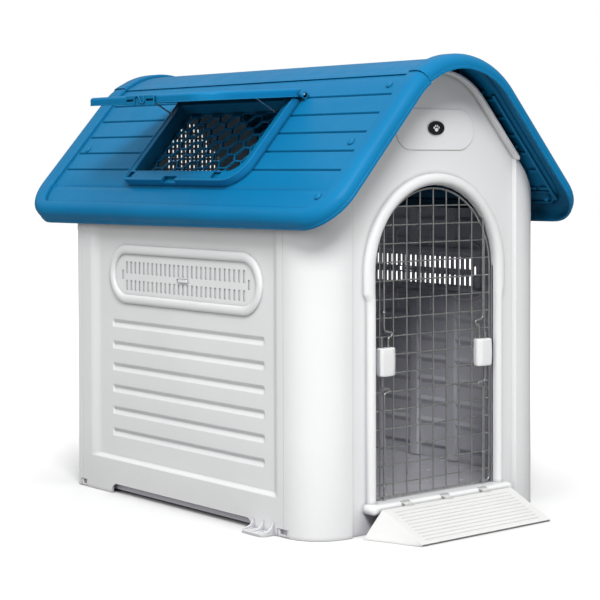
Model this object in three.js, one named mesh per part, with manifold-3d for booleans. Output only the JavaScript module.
// Plastic kennel with a pitched roof, a roof hatch over a honeycomb skylight, a barred wire
// door with slide rods, shuttered side vents and a clip-on ramp.
// Millimetres, +Z up, +X right seen from the front, the front faces -Y.
// The origin is on the ground under the middle of the walls.
import * as THREE from "three";
import { mergeVertices } from "three/addons/utils/BufferGeometryUtils.js";
import Module from "manifold-3d";

const wasm = await Module();
wasm.setup();

// ---------- driving dimensions ----------
const HALF_WIDTH = 227; // outer face of the side walls
const DEPTH = 574; // front face of the corner columns to the back face
const WALL = 4;
const GAP = 0.4; // between parts that sit against each other
const FACE_Y = 5; // the front face between the columns is set back this far
const COLUMN_X = 158; // inner edge of the corner columns
const FRONT_CORNER = 60;
const BACK_CORNER = 5;
const FRONT_SEAM = 63; // front panel wraps round to here
const BACK_SEAM = 559; // back panel wraps round to here
const WALL_TOP = 433;

const SLOPE = THREE.MathUtils.degToRad(48.3);
const RIDGE_RADIUS = 134.7;
const APEX = 653;
const ROOF_FRONT = -57;
const ROOF_BACK = 697;
const EAVE_S = 239; // slope length from the end of the ridge arc to the eave
const ROOF_CORNER = 62;
const LIP_DEPTH = 21;
const FIELD_H = -5; // plank surface, below the rim surface
const UNDERSIDE_H = -9.5;
const RIM = { front: 33, back: 42, eave: 23.4 };
const SEAM_S = -28.4; // the right half laps over the ridge to here on the left side
const PLANK_PITCH = 34.1;
const FIRST_GROOVE_S = 11;
const GABLE_H = -20; // top edge of the gable walls, below the rim surface

const DOOR_HALF = 116.5;
const ARCH_Z = 356;
const SILL_TOP = 42;
const MESH_PITCH = 25.4;
const MESH_Y = 9.6;
const MESH_HALF = 112;
const MESH_BOTTOM = 45;
const WIRE_R = 1.1;
const ROD_R = 1.5;
const ROD_X = 96;
const ROD_Y = 6;
const ROD_TRAVEL = 6;
const BLOCK = { width: 29, bottom: 212.5, top: 251.5, front: -3, back: 8.2, shift: 2 };
const INNER_HOLE_X = 88.5;
const OUTER_HOLE_X = 100.5;

const FRAME = { s0: 15, s1: 179, y0: 168, y1: 450, top: 8, bottom: -13.5 };
const OPENING = { s0: 27, s1: 159, y0: 182, y1: 436 };
const PIN = { s: 11, h: 2, r: 2 };
const HATCH_DROOP = THREE.MathUtils.degToRad(-3.05); // the open hatch hangs a little below level
const HATCH = { length: 171.5, y0: 164.5, y1: 453.5, top: 9.1, skin: 2.5, skirt: -3 };
const STAY = { u: 76, w: 4, y: [186, 432], seatS: 50, seatH: 8, r: 1.2 };
const CATCH_Y = 316;

const VENT = { y0: 112, y1: 486, z0: 292, z1: 381, bead: 14 };
const SLOT = { first: 154, pitch: 11.04, count: 27, width: 5 };
const SLOT_ROWS = [[312.6, 328], [338, 356]];
const FIELD = { y0: 75, y1: 537, z0: 51, z1: 420, bevelFront: 16, bevelBack: 25, bevelZ: 7, depth: 5 };
const GROOVE = { y0: 110, y1: 481, topZ: 266.4, pitch: 33.4, height: 12, count: 6, depth: 2.5 };
const BACK_GROOVE_X = 180;

// ---------- materials ----------
const plastic = (color, roughness) => new THREE.MeshStandardMaterial({ color, roughness, metalness: 0 });
const WHITE = plastic(0xeceeee, 0.5);
const BLUE = plastic(0x2082b8, 0.42);
const BLACK = plastic(0x17181a, 0.35);
const GREY_FLOOR = plastic(0xd4d6d8, 0.55);
const STEEL = new THREE.MeshStandardMaterial({ color: 0xa9adb0, roughness: 0.32, metalness: 1 });

// ---------- solids ----------
function solidOf(geometry) {
  const bare = geometry.clone();
  bare.deleteAttribute("normal");
  bare.deleteAttribute("uv");
  const merged = mergeVertices(bare, 1e-4);
  const vertProperties = new Float32Array(merged.attributes.position.array);
  const triVerts = new Uint32Array(merged.index.array);
  return new wasm.Manifold(new wasm.Mesh({ numProp: 3, vertProperties, triVerts }));
}

function geometryOf(solid) {
  const mesh = solid.getMesh();
  const position = new Float32Array(mesh.numVert * 3);
  for (let i = 0; i < mesh.numVert; i++) {
    position.set(mesh.vertProperties.subarray(i * mesh.numProp, i * mesh.numProp + 3), i * 3);
  }
  const geometry = new THREE.BufferGeometry();
  geometry.setAttribute("position", new THREE.BufferAttribute(position, 3));
  geometry.setIndex(new THREE.BufferAttribute(new Uint32Array(mesh.triVerts), 1));
  geometry.computeVertexNormals();
  return geometry;
}

const join = (solids) => solids.reduce((sum, next) => sum.add(next));

// A closed surface from points and triangles, turned to face outwards.
function closedSolid(points, triangles) {
  let volume = 0;
  for (const [a, b, c] of triangles) {
    volume += points[a].dot(new THREE.Vector3().crossVectors(points[b], points[c]));
  }
  const index = triangles.flatMap(([a, b, c]) => (volume < 0 ? [a, c, b] : [a, b, c]));
  const geometry = new THREE.BufferGeometry().setFromPoints(points);
  geometry.setIndex(index);
  return solidOf(geometry);
}

// Triangles over a ring of points, running the way the ring runs; flat projects it to a plane,
// and a convex ring needs no plane.
function capFaces(ring, flat) {
  if (!flat) return ring.slice(2).map((_, i) => [0, i + 1, i + 2]);
  const outline = ring.map(flat);
  const clockwise = THREE.ShapeUtils.isClockWise(outline);
  const faces = THREE.ShapeUtils.triangulateShape(clockwise ? outline.slice().reverse() : outline, []);
  const last = ring.length - 1;
  return clockwise ? faces.map((face) => face.map((i) => last - i).reverse()) : faces;
}

const inXY = (p) => new THREE.Vector2(p.x, p.y);
const inXZ = (p) => new THREE.Vector2(p.x, p.z);
const inYZ = (p) => new THREE.Vector2(p.y, p.z);

// Rings of equal length joined in order; the ends are capped, or the last ring meets the first.
function loft(rings, { looped = false, flat = inXY } = {}) {
  const count = rings[0].length;
  const points = rings.flat();
  const triangles = [];
  const spans = looped ? rings.length : rings.length - 1;
  for (let k = 0; k < spans; k++) {
    const a = k * count;
    const b = ((k + 1) % rings.length) * count;
    for (let i = 0; i < count; i++) {
      const j = (i + 1) % count;
      triangles.push([a + i, a + j, b + j], [a + i, b + j, b + i]);
    }
  }
  if (!looped) {
    const last = (rings.length - 1) * count;
    for (const face of capFaces(rings[0], flat)) triangles.push(face.slice().reverse());
    for (const face of capFaces(rings.at(-1), flat)) triangles.push(face.map((i) => last + i));
  }
  return closedSolid(points, triangles);
}

function box(x0, x1, y0, y1, z0, z1) {
  const geometry = new THREE.BoxGeometry(x1 - x0, y1 - y0, z1 - z0);
  geometry.translate((x0 + x1) / 2, (y0 + y1) / 2, (z0 + z1) / 2);
  return solidOf(geometry);
}

// Prisms of a shape drawn in (x, y), (x, z) or (y, z), along the remaining axis.
const extruded = (shape, depth, curveSegments) =>
  new THREE.ExtrudeGeometry(shape, { depth, bevelEnabled: false, curveSegments });

function prismZ(shape, z0, z1, curveSegments = 6) {
  return solidOf(extruded(shape, z1 - z0, curveSegments).translate(0, 0, z0));
}

function prismY(shape, y0, y1, curveSegments = 6) {
  return solidOf(extruded(shape, y1 - y0, curveSegments).translate(0, 0, -y1).rotateX(Math.PI / 2));
}

function prismX(shape, x0, x1, curveSegments = 6) {
  const axes = new THREE.Matrix4().makeBasis(
    new THREE.Vector3(0, 1, 0),
    new THREE.Vector3(0, 0, 1),
    new THREE.Vector3(1, 0, 0),
  );
  return solidOf(extruded(shape, x1 - x0, curveSegments).translate(0, 0, x0).applyMatrix4(axes));
}

function cylinderY(x, z, radius, y0, y1, sides = 12) {
  const geometry = new THREE.CylinderGeometry(radius, radius, y1 - y0, sides);
  return solidOf(geometry.translate(x, (y0 + y1) / 2, z));
}

function cylinderZ(x, y, radius, z0, z1, sides = 12) {
  const geometry = new THREE.CylinderGeometry(radius, radius, z1 - z0, sides).rotateX(Math.PI / 2);
  return solidOf(geometry.translate(x, y, (z0 + z1) / 2));
}

// A round wire through a run of points, mitred at each bend.
function wire(points, radius, sides = 8) {
  const path = points.map((p) => new THREE.Vector3(...p));
  const across = new THREE.Vector3(0.13, 0.97, 0.21);
  const rings = path.map((p, i) => {
    const before = path[Math.max(i - 1, 0)];
    const after = path[Math.min(i + 1, path.length - 1)];
    const incoming = p.clone().sub(before).normalize();
    const outgoing = after.clone().sub(p).normalize();
    const along = incoming.clone().add(outgoing).normalize();
    const stretch = 1 / Math.max(along.dot(i ? incoming : outgoing), 0.5);
    const side = new THREE.Vector3().crossVectors(along, across).normalize();
    const up = new THREE.Vector3().crossVectors(along, side);
    return Array.from({ length: sides }, (_, k) => {
      const a = (k / sides) * 2 * Math.PI;
      const reach = radius * (1 + (stretch - 1) * Math.abs(Math.cos(a)));
      return p.clone().addScaledVector(side, reach * Math.cos(a)).addScaledVector(up, radius * Math.sin(a));
    });
  });
  return loft(rings, { flat: null });
}

// ---------- outlines ----------
function polygon(points) {
  return new THREE.Shape(points.map(([a, b]) => new THREE.Vector2(a, b)));
}

// A rectangle with its own radius at each corner: [low u low v, high u low v, high high, low high].
function roundedRect(u0, u1, v0, v1, radii) {
  const [a, b, c, d] = radii;
  const shape = new THREE.Shape();
  shape.moveTo(u0 + a, v0);
  shape.lineTo(u1 - b, v0);
  if (b) shape.absarc(u1 - b, v0 + b, b, -Math.PI / 2, 0, false);
  shape.lineTo(u1, v1 - c);
  if (c) shape.absarc(u1 - c, v1 - c, c, 0, Math.PI / 2, false);
  shape.lineTo(u0 + d, v1);
  if (d) shape.absarc(u0 + d, v1 - d, d, Math.PI / 2, Math.PI, false);
  shape.lineTo(u0, v0 + a);
  if (a) shape.absarc(u0 + a, v0 + a, a, Math.PI, 1.5 * Math.PI, false);
  return shape;
}

const stadium = (u0, u1, v0, v1) => {
  const r = (v1 - v0) / 2 - 0.01;
  return roundedRect(u0, u1, v0, v1, [r, r, r, r]);
};

// The same outline as a ring of [u, v] points, always with the same count for the same steps.
function rectRing(u0, u1, v0, v1, radius, steps) {
  const corners = [[u1 - radius, v0 + radius, -0.5], [u1 - radius, v1 - radius, 0],
    [u0 + radius, v1 - radius, 0.5], [u0 + radius, v0 + radius, 1]];
  return corners.flatMap(([u, v, turn]) => Array.from({ length: steps + 1 }, (_, i) => {
    const a = (turn + (0.5 * i) / steps) * Math.PI;
    return [u + radius * Math.cos(a), v + radius * Math.sin(a)];
  }));
}

// ---------- roof surface ----------
// s runs down the slope from the end of the ridge arc, h stands off the rim surface.
const ARC_X = RIDGE_RADIUS * Math.sin(SLOPE);
const ARC_CENTRE_Z = APEX - RIDGE_RADIUS;
const RIDGE_S = -RIDGE_RADIUS * SLOPE;

function roofPoint(s, y, h, side = -1) {
  const angle = s < 0 ? SLOPE + s / RIDGE_RADIUS : SLOPE;
  const down = Math.max(s, 0);
  const reach = RIDGE_RADIUS + h;
  const x = reach * Math.sin(angle) + down * Math.cos(SLOPE);
  const z = ARC_CENTRE_Z + reach * Math.cos(angle) - down * Math.sin(SLOPE);
  return new THREE.Vector3(side * x, y, z);
}

// A prism of a shape drawn in (s, y) on the slope, between two stand-off heights.
function slopePrism(shape, h0, h1, curveSegments = 6, side = -1) {
  const origin = roofPoint(0, 0, 0, side);
  const alongS = roofPoint(1, 0, 0, side).sub(origin);
  const alongH = roofPoint(0, 0, 1, side).sub(origin);
  const frame = new THREE.Matrix4().makeBasis(alongS, new THREE.Vector3(0, 1, 0), alongH);
  frame.setPosition(origin);
  const geometry = extruded(shape, h1 - h0, curveSegments).translate(0, 0, h0).applyMatrix4(frame);
  const position = geometry.attributes.position;
  const points = Array.from({ length: position.count }, (_, i) =>
    new THREE.Vector3().fromBufferAttribute(position, i));
  const triangles = Array.from({ length: position.count / 3 }, (_, i) => [3 * i, 3 * i + 1, 3 * i + 2]);
  return closedSolid(points, triangles);
}

// The cross-section of everything under the roof surface, from ground to a stand-off height.
function underRoof(h, halfWidth) {
  const reach = RIDGE_RADIUS + h;
  const atWall = roofPoint(0, 0, h);
  const drop = (halfWidth + atWall.x) * Math.tan(SLOPE);
  const shape = new THREE.Shape();
  shape.moveTo(-halfWidth, -10);
  shape.lineTo(halfWidth, -10);
  shape.lineTo(halfWidth, atWall.z - drop);
  shape.lineTo(-atWall.x, atWall.z);
  shape.absarc(0, ARC_CENTRE_Z, reach, Math.PI / 2 - SLOPE, Math.PI / 2 + SLOPE, false);
  shape.lineTo(-halfWidth, atWall.z - drop);
  return shape;
}

// ---------- roof halves ----------
const CORNER_STEPS = 4;

function roofRing(stations, inset, h, side) {
  const centreS = EAVE_S - ROOF_CORNER;
  const front = stations.map((s) => [s, ROOF_FRONT + inset.front]);
  const back = stations.map((s) => [s, ROOF_BACK - inset.back]).reverse();
  const corner = (step, centreY, direction, sideInset) => {
    const turn = (step / CORNER_STEPS) * (Math.PI / 2);
    const s = centreS + (ROOF_CORNER - inset.eave) * Math.sin(turn);
    return [s, centreY + direction * (ROOF_CORNER - sideInset) * Math.cos(turn)];
  };
  const steps = Array.from({ length: CORNER_STEPS }, (_, i) => i + 1);
  const frontCorner = steps.map((i) => corner(i, ROOF_FRONT + ROOF_CORNER, -1, inset.front));
  const backCorner = steps.map((i) => corner(i, ROOF_BACK - ROOF_CORNER, 1, inset.back)).reverse();
  return [...front, ...frontCorner, ...backCorner, ...back].map(([s, y]) => roofPoint(s, y, h, side));
}

const evenInset = (d) => ({ front: d, back: d, eave: d });
const grownRim = (d) => ({ front: RIM.front + d, back: RIM.back + d, eave: RIM.eave + d });

// One closed shell: a rolled rim on three sides, a lower plank field, open along the seam.
function roofShell(seamS, side) {
  const arcSteps = Math.round((-seamS * 180) / Math.PI / RIDGE_RADIUS / 7.5);
  const stations = Array.from({ length: arcSteps + 1 }, (_, i) => seamS * (1 - i / arcSteps));
  stations.push(EAVE_S - ROOF_CORNER);
  const outer = [
    [evenInset(0), -LIP_DEPTH],
    [evenInset(0), -15],
    [evenInset(2.5), -8],
    [evenInset(8), -2.2],
    [evenInset(16), 0],
    [grownRim(-3), 0],
    [grownRim(0), FIELD_H],
  ];
  const inner = [
    [evenInset(3.5), -LIP_DEPTH],
    [evenInset(4), -13],
    [evenInset(10), -6.5],
    [evenInset(17), -4],
    [grownRim(-2), -4],
    [grownRim(4), UNDERSIDE_H],
  ];
  const profile = [...outer.reverse(), ...inner];
  const rings = profile.map(([inset, h]) => roofRing(stations, inset, h, side));
  const count = rings[0].length;
  const points = rings.flat();
  const triangles = [];
  for (let k = 0; k + 1 < rings.length; k++) {
    for (let i = 0; i + 1 < count; i++) {
      const a = k * count + i;
      const b = a + count;
      triangles.push([a, a + 1, b + 1], [a, b + 1, b]);
    }
  }
  const strip = (start, turned) => {
    for (let i = 0; i + 1 < count / 2; i++) {
      const a = start + i;
      const b = start + count - 1 - i;
      const pair = [[a, b, a + 1], [a + 1, b, b - 1]];
      triangles.push(...(turned ? pair.map((t) => t.reverse()) : pair));
    }
  };
  strip(0, false);
  strip((rings.length - 1) * count, true);
  const starts = rings.map((_, k) => k * count);
  const ends = rings.map((_, k) => (k + 1) * count - 1).reverse();
  const loop = [...starts, ...ends];
  const faces = capFaces(loop.map((i) => points[i]), inYZ);
  triangles.push(...faces.map((face) => face.map((i) => loop[i])));
  return closedSolid(points, triangles);
}

const grooveStations = Array.from({ length: 6 }, (_, k) => FIRST_GROOVE_S + k * PLANK_PITCH);

function plankGroove(s, side) {
  const y0 = ROOF_FRONT + RIM.front + 1;
  const y1 = ROOF_BACK - RIM.back - 1;
  const section = (y) => [
    roofPoint(s - 2, y, FIELD_H + 0.6, side),
    roofPoint(s, y, FIELD_H - 2.2, side),
    roofPoint(s + 2, y, FIELD_H + 0.6, side),
  ];
  return loft([section(y0), section(y1)], { flat: inXZ });
}

const RIVETS = [[-6, -2], [98, -2], [194, -9], [106, 631]];

// A seat rib that carries the roof on a gable wall.
function seatRib(y0, y1, fromS, side) {
  const steps = 6;
  const stations = Array.from({ length: steps + 1 }, (_, i) => fromS * (1 - i / steps));
  stations.push(120);
  const section = (s) => [
    roofPoint(s, y0, UNDERSIDE_H + 1, side),
    roofPoint(s, y1, UNDERSIDE_H + 1, side),
    roofPoint(s, y1, GABLE_H + GAP, side),
    roofPoint(s, y0, GABLE_H + GAP, side),
  ];
  const flat = (p) => new THREE.Vector2(p.y, p.z - Math.abs(p.x));
  return loft(stations.map(section), { flat });
}

function roofHalf(seamS, side) {
  let solid = roofShell(seamS, side);
  for (const s of grooveStations) solid = solid.subtract(plankGroove(s, side));
  const ribStart = Math.max(seamS + 2, -60);
  solid = solid.add(seatRib(5, 9, ribStart, side)).add(seatRib(565, 569, ribStart, side));
  for (const [s, y] of RIVETS) solid = solid.subtract(rivetCylinder(s, y, 2.9, -40, 5, side));
  return solid;
}

function rivetCylinder(s, y, radius, h0, h1, side) {
  const foot = roofPoint(s, y, h0, side);
  const head = roofPoint(s, y, h1, side);
  return wire([foot.toArray(), head.toArray()], radius, 8);
}

function rivet(s, y, side) {
  const length = y > 0 ? -17 : -27;
  const shank = rivetCylinder(s, y, 2.5, length, FIELD_H + 0.6, side);
  return shank.add(rivetCylinder(s, y, 5, FIELD_H + 0.3, FIELD_H + 2.2, side));
}

function skylightFrame() {
  const outline = roundedRect(FRAME.s0, FRAME.s1, FRAME.y0, FRAME.y1, [4, 38, 8, 4]);
  const hole = roundedRect(OPENING.s0, OPENING.s1, OPENING.y0, OPENING.y1, [3, 24, 3, 3]);
  const ledge = roundedRect(OPENING.s1 - 3, FRAME.s1 - 5, FRAME.y0 + 24, FRAME.y1 - 6, [2, 12, 2, 2]);
  return slopePrism(outline, FRAME.bottom, FRAME.top)
    .subtract(slopePrism(hole, FRAME.bottom - 5, FRAME.top + 5))
    .subtract(slopePrism(ledge, FRAME.top - 3, FRAME.top + 5));
}

// Ears on the roof carry the ends of the hatch hinge pins.
function hingeEar(y0, y1) {
  const bore = roofPoint(PIN.s, 0, PIN.h);
  const foot = roundedRect(PIN.s - 5, PIN.s + 5, y0, y1, [0, 0, 0, 0]);
  return slopePrism(foot, FIELD_H - 2, PIN.h)
    .add(cylinderY(bore.x, bore.z, 5, y0, y1, 14))
    .subtract(cylinderY(bore.x, bore.z, PIN.r + 0.15, y0 - 2, y1 + 2));
}

const EARS = [[157.5, 163], [455, 460.5]];

function roofLeft() {
  const opening = roundedRect(OPENING.s0, OPENING.s1, OPENING.y0, OPENING.y1, [3, 24, 3, 3]);
  const cut = roofHalf(SEAM_S, -1).subtract(slopePrism(opening, -40, 20));
  return join([cut, skylightFrame(), ...EARS.map(([a, b]) => hingeEar(a, b))]);
}

const roofRight = () => roofHalf(2 * RIDGE_S - SEAM_S + 0.5, 1);

// ---------- skylight ----------
function hexagon(s, y, inset) {
  const edge = 8.65 - inset * 0.58;
  const tip = 17.3 - inset * 1.16;
  const half = 12.9 - inset;
  return [[s - half, y - edge], [s - half, y + edge], [s, y + tip],
    [s + half, y + edge], [s + half, y - edge], [s, y - tip]];
}

// A honeycomb plate under the frame, with its cells cut to the opening.
function skylightGrille() {
  const plate = roundedRect(OPENING.s0 - 6, OPENING.s1 + 6, OPENING.y0 - 6, OPENING.y1 + 6, [4, 26, 4, 4]);
  const top = FRAME.bottom - GAP;
  const bottom = top - 3;
  const cells = [];
  for (let column = 0; column < 11; column++) {
    for (let row = 0; row < 7; row++) {
      const s = 33 + row * 25.8 + (column % 2) * 12.9;
      const y = 180 + column * 25.95;
      cells.push(slopePrism(polygon(hexagon(s, y, 1.3)), bottom - 1, top + 1));
    }
  }
  const window = roundedRect(OPENING.s0 + 1, OPENING.s1 - 1, OPENING.y0 + 1, OPENING.y1 - 1, [3, 22, 3, 3]);
  const holes = join(cells).intersect(slopePrism(window, bottom - 2, top + 2));
  return slopePrism(plate, bottom, top).subtract(holes);
}

// The hatch is modelled level: its pin on the origin, its free edge towards -X.
function skylightHatch() {
  const { length, y0, y1, top, skin, skirt } = HATCH;
  const outer = roundedRect(-length, 4, y0, y1, [40, 2, 2, 6]);
  const inner = roundedRect(-length + 2.5, 20, y0 + 2.5, y1 - 2.5, [37.5, 0, 0, 4]);
  let solid = prismZ(outer, skirt, top).subtract(prismZ(inner, skirt - 5, top - skin));
  const bosses = [[y0, y0 + 2.5], [y1 - 2.5, y1]];
  for (const [a, b] of bosses) {
    solid = solid.add(cylinderY(0, 0, 4.6, a, b, 14));
    solid = solid.subtract(cylinderY(0, 0, PIN.r + 0.15, a - 1, b + 1));
  }
  for (let k = 1; k < 5; k++) {
    const x = -k * PLANK_PITCH;
    const groove = polygon([[x - 1.6, top + 0.5], [x, top - 1.4], [x + 1.6, top + 0.5]]);
    solid = solid.subtract(prismY(groove, y0 + 14, y1 - 14));
  }
  for (const y of STAY.y) {
    const lugY = y + (y < 300 ? 2 : -5);
    solid = solid.add(box(-STAY.u - 4, -STAY.u + 4, lugY, lugY + 3, STAY.w - 3, top - 1));
    solid = solid.subtract(cylinderY(-STAY.u, STAY.w, STAY.r + 0.3, lugY - 1, lugY + 4));
  }
  return solid;
}

function hatchPin(y0, y1) {
  return cylinderY(0, 0, PIN.r, y0, y1, 12);
}

// Each stay hangs from a lug under the hatch and reaches back to the edge of the frame.
function hatchStay(y, reachX, reachZ) {
  const lug = y + (y < 300 ? 6.5 : -6.5);
  return wire([[0, lug, 0], [0, y, 0], [reachX, y, reachZ]], STAY.r, 8);
}

function hatchCatch() {
  const x = -HATCH.length - 0.4;
  const plate = box(x - 2, x, CATCH_Y - 35, CATCH_Y + 35, -5.6, 8.6);
  const slots = [-24.5, 24.5].map((dy) => box(x - 3, x + 1, CATCH_Y + dy - 9, CATCH_Y + dy + 9, 1, 3));
  const thumb = box(x - 4.5, x - 1, CATCH_Y - 12, CATCH_Y + 12, 0, 3.6);
  const lip = box(x - 1, x + 3, CATCH_Y - 12, CATCH_Y + 12, -5.6, -3.8);
  return slots.reduce((solid, slot) => solid.subtract(slot), plate).add(thumb).add(lip);
}

// ---------- walls ----------
function frontPlan() {
  const half = HALF_WIDTH;
  const c = half - FRONT_CORNER;
  const shape = new THREE.Shape();
  shape.moveTo(-half, FRONT_SEAM);
  shape.lineTo(-half, FRONT_CORNER);
  shape.absarc(-c, FRONT_CORNER, FRONT_CORNER, Math.PI, 1.5 * Math.PI, false);
  shape.lineTo(-COLUMN_X, 0);
  shape.lineTo(-COLUMN_X + 3, FACE_Y);
  shape.lineTo(COLUMN_X - 3, FACE_Y);
  shape.lineTo(COLUMN_X, 0);
  shape.lineTo(c, 0);
  shape.absarc(c, FRONT_CORNER, FRONT_CORNER, -Math.PI / 2, 0, false);
  shape.lineTo(half, FRONT_SEAM);
  shape.lineTo(half - WALL, FRONT_SEAM);
  shape.lineTo(half - WALL, FRONT_CORNER);
  shape.absarc(c, FRONT_CORNER, FRONT_CORNER - WALL, 0, -Math.PI / 2, true);
  shape.lineTo(COLUMN_X + 3, WALL);
  shape.lineTo(COLUMN_X, FACE_Y + WALL);
  shape.lineTo(-COLUMN_X, FACE_Y + WALL);
  shape.lineTo(-COLUMN_X - 3, WALL);
  shape.lineTo(-c, WALL);
  shape.absarc(-c, FRONT_CORNER, FRONT_CORNER - WALL, 1.5 * Math.PI, Math.PI, true);
  shape.lineTo(-half + WALL, FRONT_SEAM);
  return shape;
}

function doorway(half, bottom) {
  const shape = new THREE.Shape();
  shape.moveTo(-half, bottom);
  shape.lineTo(half, bottom);
  shape.lineTo(half, ARCH_Z);
  shape.absarc(0, ARCH_Z, half, 0, Math.PI, false);
  return shape;
}

// A rounded bead round the doorway, wider over the arch than down the jambs.
function doorBead() {
  const section = (x, z, nx, nz, width) =>
    [[0, 6], [0, 1], [0.14, -3], [0.38, -5], [0.7, -4], [1, 0.5], [1, 6]].map(([d, y]) =>
      new THREE.Vector3(x + nx * d * width, y, z + nz * d * width));
  const jamb = [[36, 14], [316, 14], [325, 19.5], [340, 19.5]];
  const stations = [];
  for (const [z, width] of jamb) stations.push(section(-DOOR_HALF, z, -1, 0, width));
  const steps = 16;
  for (let i = 0; i <= steps; i++) {
    const a = Math.PI * (1 - i / steps);
    const [c, s] = [Math.cos(a), Math.sin(a)];
    stations.push(section(DOOR_HALF * c, ARCH_Z + DOOR_HALF * s, c, s, 19.5 - 3 * s));
  }
  for (const [z, width] of jamb.reverse()) stations.push(section(DOOR_HALF, z, 1, 0, width));
  return loft(stations);
}

const SILL = { half: 137, y0: -17, z0: 28 };
const HOOK_X = [-75, 0, 75];

function doorSill() {
  const r = 6.9;
  const section = roundedRect(SILL.y0, FACE_Y + WALL, SILL.z0, SILL_TOP, [4, 0, 0, r]);
  let solid = prismX(section, -SILL.half, SILL.half, 4);
  for (const x of HOOK_X) {
    solid = solid.subtract(box(x - 8.5, x + 8.5, SILL.y0 - 1, -9, 38, SILL_TOP + 1));
    solid = solid.subtract(box(x - 8.5, x + 8.5, -14, -9, 33, 38.5));
  }
  return solid;
}

// The raised edge that the roof closes down on, between the columns.
function gableFlange(y0, y1) {
  const band = prismY(underRoof(GABLE_H, 240), y0, y1, 8)
    .subtract(prismY(underRoof(GABLE_H - 4, 241), y0 - 1, y1 + 1, 8));
  return band.intersect(box(-COLUMN_X, COLUMN_X, y0 - 1, y1 + 1, 480, 700));
}

const rodSocket = (x, z0, z1) => cylinderZ(x, ROD_Y, ROD_R + 0.4, z0, z1, 10);

function frontPanel() {
  let solid = prismZ(frontPlan(), 0, 640, 6).intersect(prismY(underRoof(GABLE_H, 240), -30, 90, 8));
  solid = solid.add(gableFlange(-8, FACE_Y + 1));
  solid = solid.add(doorBead());
  solid = solid.subtract(prismY(doorway(DOOR_HALF, 40), FACE_Y - 20, FACE_Y + 20, 8));
  solid = solid.add(doorSill());
  solid = solid.add(prismY(stadium(-75, 75, 521, 578), 3.8, FACE_Y + 0.5));
  for (const side of [-1, 1]) {
    const lap = [side * (HALF_WIDTH - WALL - 4), side * (HALF_WIDTH - WALL)].sort((a, b) => a - b);
    solid = solid.add(box(...lap, 50, 73, 12, WALL_TOP - 6));
    const pad = [side * 160, side * 185].sort((a, b) => a - b);
    solid = solid.add(box(...pad, 3, 50, 0, WALL));
    solid = solid.subtract(clipNotch(side, CLIPS[0]));
    solid = solid.subtract(rodSocket(side * ROD_X, 32, SILL_TOP + 1));
    solid = solid.subtract(rodSocket(side * ROD_X, 412, 430));
    for (const [s, y] of RIVETS.slice(0, 2)) solid = solid.subtract(rivetCylinder(s, y, 2.9, -40, 5, side));
  }
  return solid;
}

function backPlan() {
  const half = HALF_WIDTH;
  const c = half - BACK_CORNER;
  const cy = DEPTH - BACK_CORNER;
  const r = BACK_CORNER;
  const shape = new THREE.Shape();
  shape.moveTo(half, BACK_SEAM);
  shape.lineTo(half, cy);
  shape.absarc(c, cy, r, 0, Math.PI / 2, false);
  shape.lineTo(-c, DEPTH);
  shape.absarc(-c, cy, r, Math.PI / 2, Math.PI, false);
  shape.lineTo(-half, BACK_SEAM);
  shape.lineTo(-half + WALL, BACK_SEAM);
  shape.lineTo(-half + WALL, cy);
  shape.absarc(-c, cy, r - WALL, Math.PI, Math.PI / 2, true);
  shape.lineTo(c, DEPTH - WALL);
  shape.absarc(c, cy, r - WALL, Math.PI / 2, 0, true);
  shape.lineTo(half - WALL, BACK_SEAM);
  return shape;
}

// Small square air holes under the back gable, in a house-shaped group.
function backVent() {
  const pitch = 8.4;
  const half = 2.3;
  const holes = [];
  for (let row = 0; row < 10; row++) {
    const reach = Math.min(2 + row, 6);
    const z = 565 - row * pitch;
    for (let column = -reach; column <= reach; column++) {
      const x = column * pitch;
      holes.push(box(x - half, x + half, DEPTH - 10, DEPTH + 10, z - half, z + half));
    }
  }
  return join(holes);
}

// A groove across the back wall, level with the grooves of the side walls.
function backGroove(z) {
  const { height, depth } = GROOVE;
  const ring = (at, grow) =>
    rectRing(-BACK_GROOVE_X - grow, BACK_GROOVE_X + grow, z - height - grow, z + grow, height / 2 + grow - 0.2, 2)
      .map(([u, w]) => new THREE.Vector3(u, at, w));
  return loft([ring(DEPTH + 0.5, 0.4), ring(DEPTH - depth, -3)], { flat: inXZ });
}

function backPanel() {
  let solid = prismZ(backPlan(), 0, 640, 4).intersect(prismY(underRoof(GABLE_H, 240), 500, 600, 8));
  solid = solid.subtract(backVent());
  for (let k = 0; k < GROOVE.count; k++) solid = solid.subtract(backGroove(GROOVE.topZ - k * GROOVE.pitch));
  for (const side of [-1, 1]) {
    const lap = [side * (HALF_WIDTH - WALL - 4), side * (HALF_WIDTH - WALL)].sort((a, b) => a - b);
    solid = solid.add(box(...lap, 543, 566, 12, WALL_TOP - 6));
    const pad = [side * 180, side * 214].sort((a, b) => a - b);
    solid = solid.add(box(...pad, 540, DEPTH - 3, 0, WALL));
    solid = solid.subtract(clipNotch(side, CLIPS[1]));
  }
  return solid;
}

const CLIPS = [[52, 77], [546, 565]];

function clipNotch(side, [y0, y1]) {
  const x = [side * 214, side * (HALF_WIDTH + 1)].sort((a, b) => a - b);
  return box(...x, y0, y1, -1, 11);
}

// A snap clip that ties a side panel to the end panel at ground level.
function cornerClip([y0, y1]) {
  const x1 = HALF_WIDTH - 0.8;
  return box(219.5, x1, y0 + GAP, y1 - GAP, GAP, 11 - GAP)
    .subtract(box(221.5, x1 + 1, y0 + 5, y1 - 5, 3, 12));
}

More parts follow.
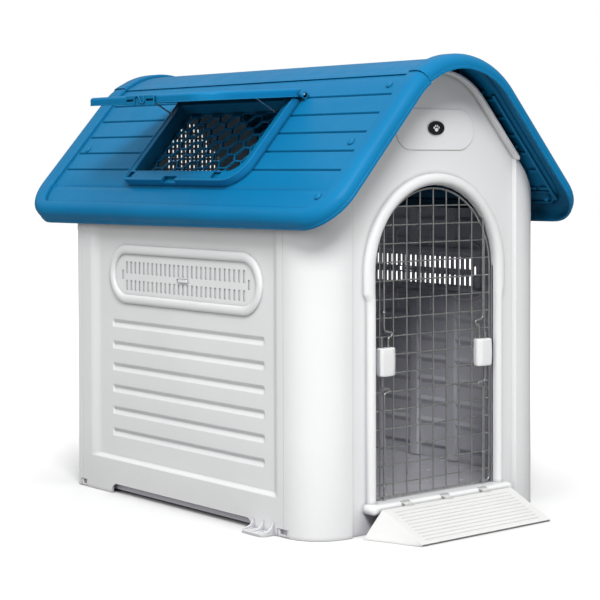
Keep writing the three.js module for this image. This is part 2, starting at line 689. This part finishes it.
// Side panel for +X; rings run from the middle of the outside face round to the inside face.
function sideBlank() {
  const x = HALF_WIDTH;
  const thick = WALL - 0.3;
  const { y0, y1, z0, z1, bevelFront, bevelBack, bevelZ, depth } = FIELD;
  const ring = (at, a, b, c, d) =>
    [[a, c], [b, c], [b, d], [a, d]].map(([y, z]) => new THREE.Vector3(at, y, z));
  const edge = [FRONT_SEAM + GAP, BACK_SEAM - GAP, 0, WALL_TOP];
  const border = [y0, y1, z0, z1];
  const floor = [y0 + bevelFront, y1 - bevelBack, z0 + bevelZ, z1 - bevelZ];
  return loft([
    ring(x - depth, ...floor),
    ring(x, ...border),
    ring(x, ...edge),
    ring(x - thick, ...edge),
    ring(x - thick, ...border),
    ring(x - thick - depth, ...floor),
  ], { flat: inYZ });
}

function pillRing(x, inset) {
  const { y0, y1, z0, z1 } = VENT;
  const radius = (z1 - z0) / 2 - inset - 0.2;
  return rectRing(y0 + inset, y1 - inset, z0 + inset, z1 - inset, radius, 5)
    .map(([y, z]) => new THREE.Vector3(x, y, z));
}

function ventBead() {
  const x = HALF_WIDTH - FIELD.depth;
  const section = [[0, -0.6], [2.5, 3], [6, 4.4], [10, 3.4], [VENT.bead, -0.6]];
  return loft(section.map(([inset, h]) => pillRing(x + h, inset)), { looped: true });
}

function sideGroove(z) {
  const x = HALF_WIDTH - FIELD.depth;
  const { y0, y1, height, depth } = GROOVE;
  const ring = (at, grow) =>
    rectRing(y0 - grow, y1 + grow, z - height - grow, z + grow, height / 2 + grow - 0.2, 2)
      .map(([v, w]) => new THREE.Vector3(at, v, w));
  return loft([ring(x + 0.5, 0.4), ring(x - depth, -3)], { flat: inYZ });
}

const slotColumns = Array.from({ length: SLOT.count }, (_, k) => SLOT.first + k * SLOT.pitch);

function ventSlots() {
  const x0 = HALF_WIDTH - 20;
  const half = SLOT.width / 2;
  const cut = (y, z0, z1) => box(x0, HALF_WIDTH + 5, y - half, y + half, z0, z1);
  const slots = SLOT_ROWS.flatMap(([z0, z1]) => slotColumns.map((y) => cut(y, z0, z1)));
  return join([...slots, cut(SLOT.first - SLOT.pitch, 329, 343), cut(452.1, 329, 343)]);
}

const TAB = { y0: 285, y1: 307, z0: 331, z1: 335.6 };

function shutterRails() {
  const inner = HALF_WIDTH - FIELD.depth - WALL + 0.3;
  const rails = [];
  for (const [z, lip] of [[367, -4], [301, 4]]) {
    rails.push(box(inner - 6.3, inner + 1, 122, 476, z, z + 3));
    const lipZ = [z + 1, z + 1 + lip + Math.sign(lip)].sort((a, b) => a - b);
    rails.push(box(inner - 6.3, inner - 3.6, 122, 476, ...lipZ));
  }
  return join(rails);
}

// A tab on the foot with two holes for ground pegs.
function pegTab() {
  const x0 = HALF_WIDTH - 1;
  let tab = prismZ(roundedRect(x0, 249, 82, 131, [0, 6, 6, 0]), 0, WALL, 3);
  for (const y of [95, 118]) tab = tab.subtract(cylinderZ(239, y, 4, -1, 6, 12));
  for (const y of [84, 106, 127]) {
    tab = tab.add(prismY(polygon([[x0, 3], [244, 3], [244, 4.5], [x0 + 3, 15], [x0, 15]]), y, y + 2.5));
  }
  return tab;
}

// Uprights that stiffen the wall from inside, below and above the vent; they step out to the border.
function uprights() {
  const inner = HALF_WIDTH - FIELD.depth - WALL + 0.3;
  const at = inner - 5.2;
  const ribs = [180, 264, 348, 432].flatMap((y) => [
    box(at, inner + 5.2, y, y + 18, 37, 50),
    box(at, inner + 0.2, y, y + 18, 49, 299.5),
    box(at, inner + 0.2, y, y + 18, 371.5, 422),
    box(at, inner + 5.2, y, y + 18, 421, 432),
  ]);
  return join(ribs);
}

function sidePanel() {
  let solid = sideBlank().add(ventBead());
  for (let k = 0; k < GROOVE.count; k++) solid = solid.subtract(sideGroove(GROOVE.topZ - k * GROOVE.pitch));
  solid = solid.add(shutterRails()).subtract(ventSlots()).add(uprights());
  const { y0, y1, z0, z1 } = TAB;
  solid = solid.subtract(box(200, 240, y0 - 0.8, y1 + SLOT.pitch / 2 + 0.8, z0 - 0.5, z1 + 0.5));
  const scoop = roundedRect(132, 479, -30, 15, [0, 0, 6, 6]);
  solid = solid.subtract(prismX(scoop, 200, 240, 3)).add(pegTab());
  for (const clip of CLIPS) solid = solid.subtract(clipNotch(1, clip));
  return solid;
}

// A slotted plate that shuts the vent when its slots stand half a pitch from the wall's slots.
function ventShutter(shift) {
  const outer = HALF_WIDTH - FIELD.depth - WALL + 0.3 - GAP;
  const half = SLOT.width / 2;
  let solid = box(outer - 2.8, outer, 132, 462, 304.6, 366.4);
  const columns = [SLOT.first - SLOT.pitch, ...slotColumns, 452.1].map((y) => y + shift);
  for (const y of columns) solid = solid.subtract(box(outer - 9, outer + 9, y - half, y + half, 311, 358));
  return solid.add(box(outer - 2.8, HALF_WIDTH - 2, TAB.y0, TAB.y1, TAB.z0, TAB.z1));
}

// ---------- floor ----------
function floorPlan(inset) {
  return roundedRect(-217 + inset, 217 - inset, 11 + inset, 567 - inset,
    [54 - inset, 54 - inset, 8 - inset, 8 - inset]);
}

function floorBase() {
  const top = 36;
  const foot = WALL + 0.6;
  let solid = prismZ(floorPlan(0), foot, top, 6).subtract(prismZ(floorPlan(3), foot - 5, top - 3.5, 6));
  for (const y of [150, 290, 430]) solid = solid.add(box(-215, 215, y, y + 3, 16, top - 2));
  for (const x of [-110, 110]) solid = solid.add(box(x - 1.5, x + 1.5, 13, 565, 16, top - 2));
  return solid.add(box(-20, 20, DEPTH / 2 - 20, DEPTH / 2 + 20, 0, top - 2));
}

// ---------- door ----------
// Welded mesh: a perimeter wire with bars on a one-inch pitch.
function doorMesh() {
  const y0 = MESH_Y - WIRE_R;
  const y1 = MESH_Y + WIRE_R;
  const steps = 6;
  const solid = prismY(doorway(MESH_HALF + WIRE_R, MESH_BOTTOM - WIRE_R), y0, y1, steps);
  const inside = prismY(doorway(MESH_HALF - WIRE_R, MESH_BOTTOM + WIRE_R), y0 - 1, y1 + 1, steps);
  const columns = [-MESH_HALF, ...[-3, -2, -1, 0, 1, 2, 3].map((k) => k * MESH_PITCH), MESH_HALF];
  const rows = [MESH_BOTTOM, 62.5];
  for (let k = 0; k < 15; k++) rows.push(87.9 + k * MESH_PITCH);
  rows.push(ARCH_Z + MESH_HALF + 2);
  const cells = [];
  for (let i = 0; i + 1 < columns.length; i++) {
    for (let j = 0; j + 1 < rows.length; j++) {
      cells.push(box(columns[i] + WIRE_R, columns[i + 1] - WIRE_R, y0 - 2, y1 + 2,
        rows[j] + WIRE_R, rows[j + 1] - WIRE_R));
    }
  }
  return solid.subtract(join(cells).intersect(inside));
}

function latchBlock(side) {
  const { width, bottom, top, front, back, shift } = BLOCK;
  const x = side * (ROD_X - shift);
  const half = width / 2;
  const section = (z, grow) => roundedRectRing(x, half + grow, front - grow, back, z);
  const levels = [[bottom, -1.5], [bottom + 3, 0], [top - 3, 0], [top, -1.5]];
  return loft(levels.map(([z, grow]) => section(z, grow)))
    .subtract(cylinderZ(side * INNER_HOLE_X, ROD_Y, ROD_R + 0.35, bottom - 2, top + 2, 10))
    .subtract(cylinderZ(side * OUTER_HOLE_X, ROD_Y, ROD_R + 0.35, bottom - 2, top + 2, 10));
}

function roundedRectRing(x, half, y0, y1, z) {
  return rectRing(x - half, x + half, y0, y1, 2.5, 2).map(([u, v]) => new THREE.Vector3(u, v, z));
}

const rodPath = (side, points, lift) => points.map(([x, z]) => [side * x, ROD_Y, z + lift]);

// The upper rod ends in a finger loop and runs down the inner hole of the block.
function upperRod(side, lift) {
  const run = [[ROD_X, 420.2], [ROD_X, 277], [83.5, 272], [INNER_HOLE_X, 264], [INNER_HOLE_X, 211]];
  return wire(rodPath(side, run, lift), ROD_R, 8);
}

// The lower rod hooks under the block and runs up its outer hole.
function lowerRod(side, lift) {
  const run = [[ROD_X, SILL_TOP + 0.6], [ROD_X, 188], [89, 192], [OUTER_HOLE_X, 199], [OUTER_HOLE_X, 265]];
  return wire(rodPath(side, run, lift), ROD_R, 8);
}

// ---------- ramp ----------
const RAMP = { topHalf: 124, topY: -20, topZ: 38.5, frontHalf: 124, frontY: -98, rearHalf: 155, rearY: -15 };

function rampShell(inset) {
  const { topHalf, topY, topZ, frontHalf, frontY, rearHalf, rearY } = RAMP;
  const d = inset;
  const base = d ? -5 : 0;
  const point = (x, y, z) => new THREE.Vector3(x, y, z);
  const foot = [
    point(-frontHalf + d, frontY + 4 * d, base), point(frontHalf - d, frontY + 4 * d, base),
    point(rearHalf - 1.5 * d, rearY - d, base), point(-rearHalf + 1.5 * d, rearY - d, base),
  ];
  const head = [
    point(-frontHalf + d, frontY + 4 * d, 2.5 - d), point(frontHalf - d, frontY + 4 * d, 2.5 - d),
    point(topHalf - d, topY - d, topZ - d), point(-topHalf + d, topY - d, topZ - d),
  ];
  return loft([foot, head]);
}

function ramp() {
  let solid = rampShell(0).subtract(rampShell(2.6));
  for (let k = 0; k < 9; k++) {
    const t = 0.1 + k * 0.085;
    const y = THREE.MathUtils.lerp(RAMP.topY, RAMP.frontY, t);
    const z = THREE.MathUtils.lerp(RAMP.topZ, 2.5, t);
    const groove = polygon([[y - 1.2, z + 2], [y + 1.2, z + 2], [y, z - 0.9]]);
    solid = solid.subtract(prismX(groove, -RAMP.topHalf + 16, RAMP.topHalf - 16));
  }
  for (const x of HOOK_X) {
    solid = solid.add(box(x - 7.5, x + 7.5, RAMP.topY - 1.5, -11, 35.8, 38.2 + GAP));
    solid = solid.subtract(box(x - 7.6, x + 7.6, SILL.y0 - GAP, -9, 30, 38 + GAP));
    solid = solid.add(box(x - 7.5, x + 7.5, RAMP.topY - 2, -11, 38.4, 40.6));
    solid = solid.add(box(x - 7.5, x + 7.5, -13.4, -11, 34.2, 40.6));
  }
  return solid;
}

// ---------- badge ----------
function badge() {
  const shape = new THREE.Shape();
  shape.absellipse(0, 551.5, 16.5, 10.2, 0, 2 * Math.PI, false, 0);
  return prismY(shape, 2, 3.8 - 0.3, 20);
}

// ---------- assembly ----------
const kennel = new THREE.Group();
const body = new THREE.Group(); // the front face of the columns is its y = 0 plane
body.position.y = -DEPTH / 2;
kennel.add(body);

function add(parent, name, solid, material) {
  const mesh = new THREE.Mesh(geometryOf(solid), material);
  mesh.name = name;
  parent.add(mesh);
  return mesh;
}

const mirrored = (solid) => solidOf(mirroredGeometry(solid));

function mirroredGeometry(solid) {
  const geometry = geometryOf(solid).scale(-1, 1, 1);
  const index = geometry.index.array;
  for (let i = 0; i < index.length; i += 3) [index[i + 1], index[i + 2]] = [index[i + 2], index[i + 1]];
  return geometry;
}

add(body, "floor_base", floorBase(), GREY_FLOOR);
add(body, "front_panel", frontPanel(), WHITE);
add(body, "back_panel", backPanel(), WHITE);
add(body, "right_side_panel", sidePanel(), WHITE);
add(body, "left_side_panel", mirrored(sidePanel()), WHITE);
add(body, "right_vent_shutter", ventShutter(0), WHITE);
add(body, "left_vent_shutter", mirrored(ventShutter(-SLOT.pitch / 2)), WHITE);
CLIPS.forEach((clip, i) => {
  const end = ["front", "back"][i];
  add(body, `corner_clip_${end}_right`, cornerClip(clip), WHITE);
  add(body, `corner_clip_${end}_left`, mirrored(cornerClip(clip)), WHITE);
});
add(body, "name_badge", badge(), BLACK);
add(body, "roof_left", roofLeft(), BLUE);
add(body, "roof_right", roofRight(), BLUE);
add(body, "skylight_grille", skylightGrille(), BLUE);
for (const [side, label] of [[-1, "left"], [1, "right"]]) {
  RIVETS.forEach(([s, y], i) => add(body, `roof_rivet_${label}_${i + 1}`, rivet(s, y, side), BLUE));
}

const hatchGroup = new THREE.Group();
hatchGroup.position.copy(roofPoint(PIN.s, 0, PIN.h));
hatchGroup.rotation.y = HATCH_DROOP;
body.add(hatchGroup);
add(hatchGroup, "skylight_hatch", skylightHatch(), BLUE);
add(hatchGroup, "hatch_catch", hatchCatch(), BLUE);
add(hatchGroup, "hatch_pin_front", hatchPin(157, 170), STEEL);
add(hatchGroup, "hatch_pin_back", hatchPin(448, 461), STEEL);
const seat = roofPoint(STAY.seatS, 0, STAY.seatH).sub(hatchGroup.position);
seat.applyAxisAngle(new THREE.Vector3(0, 1, 0), -HATCH_DROOP);
STAY.y.forEach((y, i) => {
  const stay = add(hatchGroup, ["hatch_stay_front", "hatch_stay_back"][i],
    hatchStay(y, seat.x + STAY.u, seat.z - STAY.w), STEEL);
  stay.position.set(-STAY.u, 0, STAY.w);
});

add(body, "door_mesh", doorMesh(), STEEL);
for (const [side, label, lift] of [[-1, "left", 0], [1, "right", ROD_TRAVEL]]) {
  add(body, `latch_block_${label}`, latchBlock(side), WHITE);
  add(body, `rod_upper_${label}`, upperRod(side, lift), STEEL);
  add(body, `rod_lower_${label}`, lowerRod(side, -lift), STEEL);
}
add(body, "ramp", ramp(), WHITE);

export default kennel;
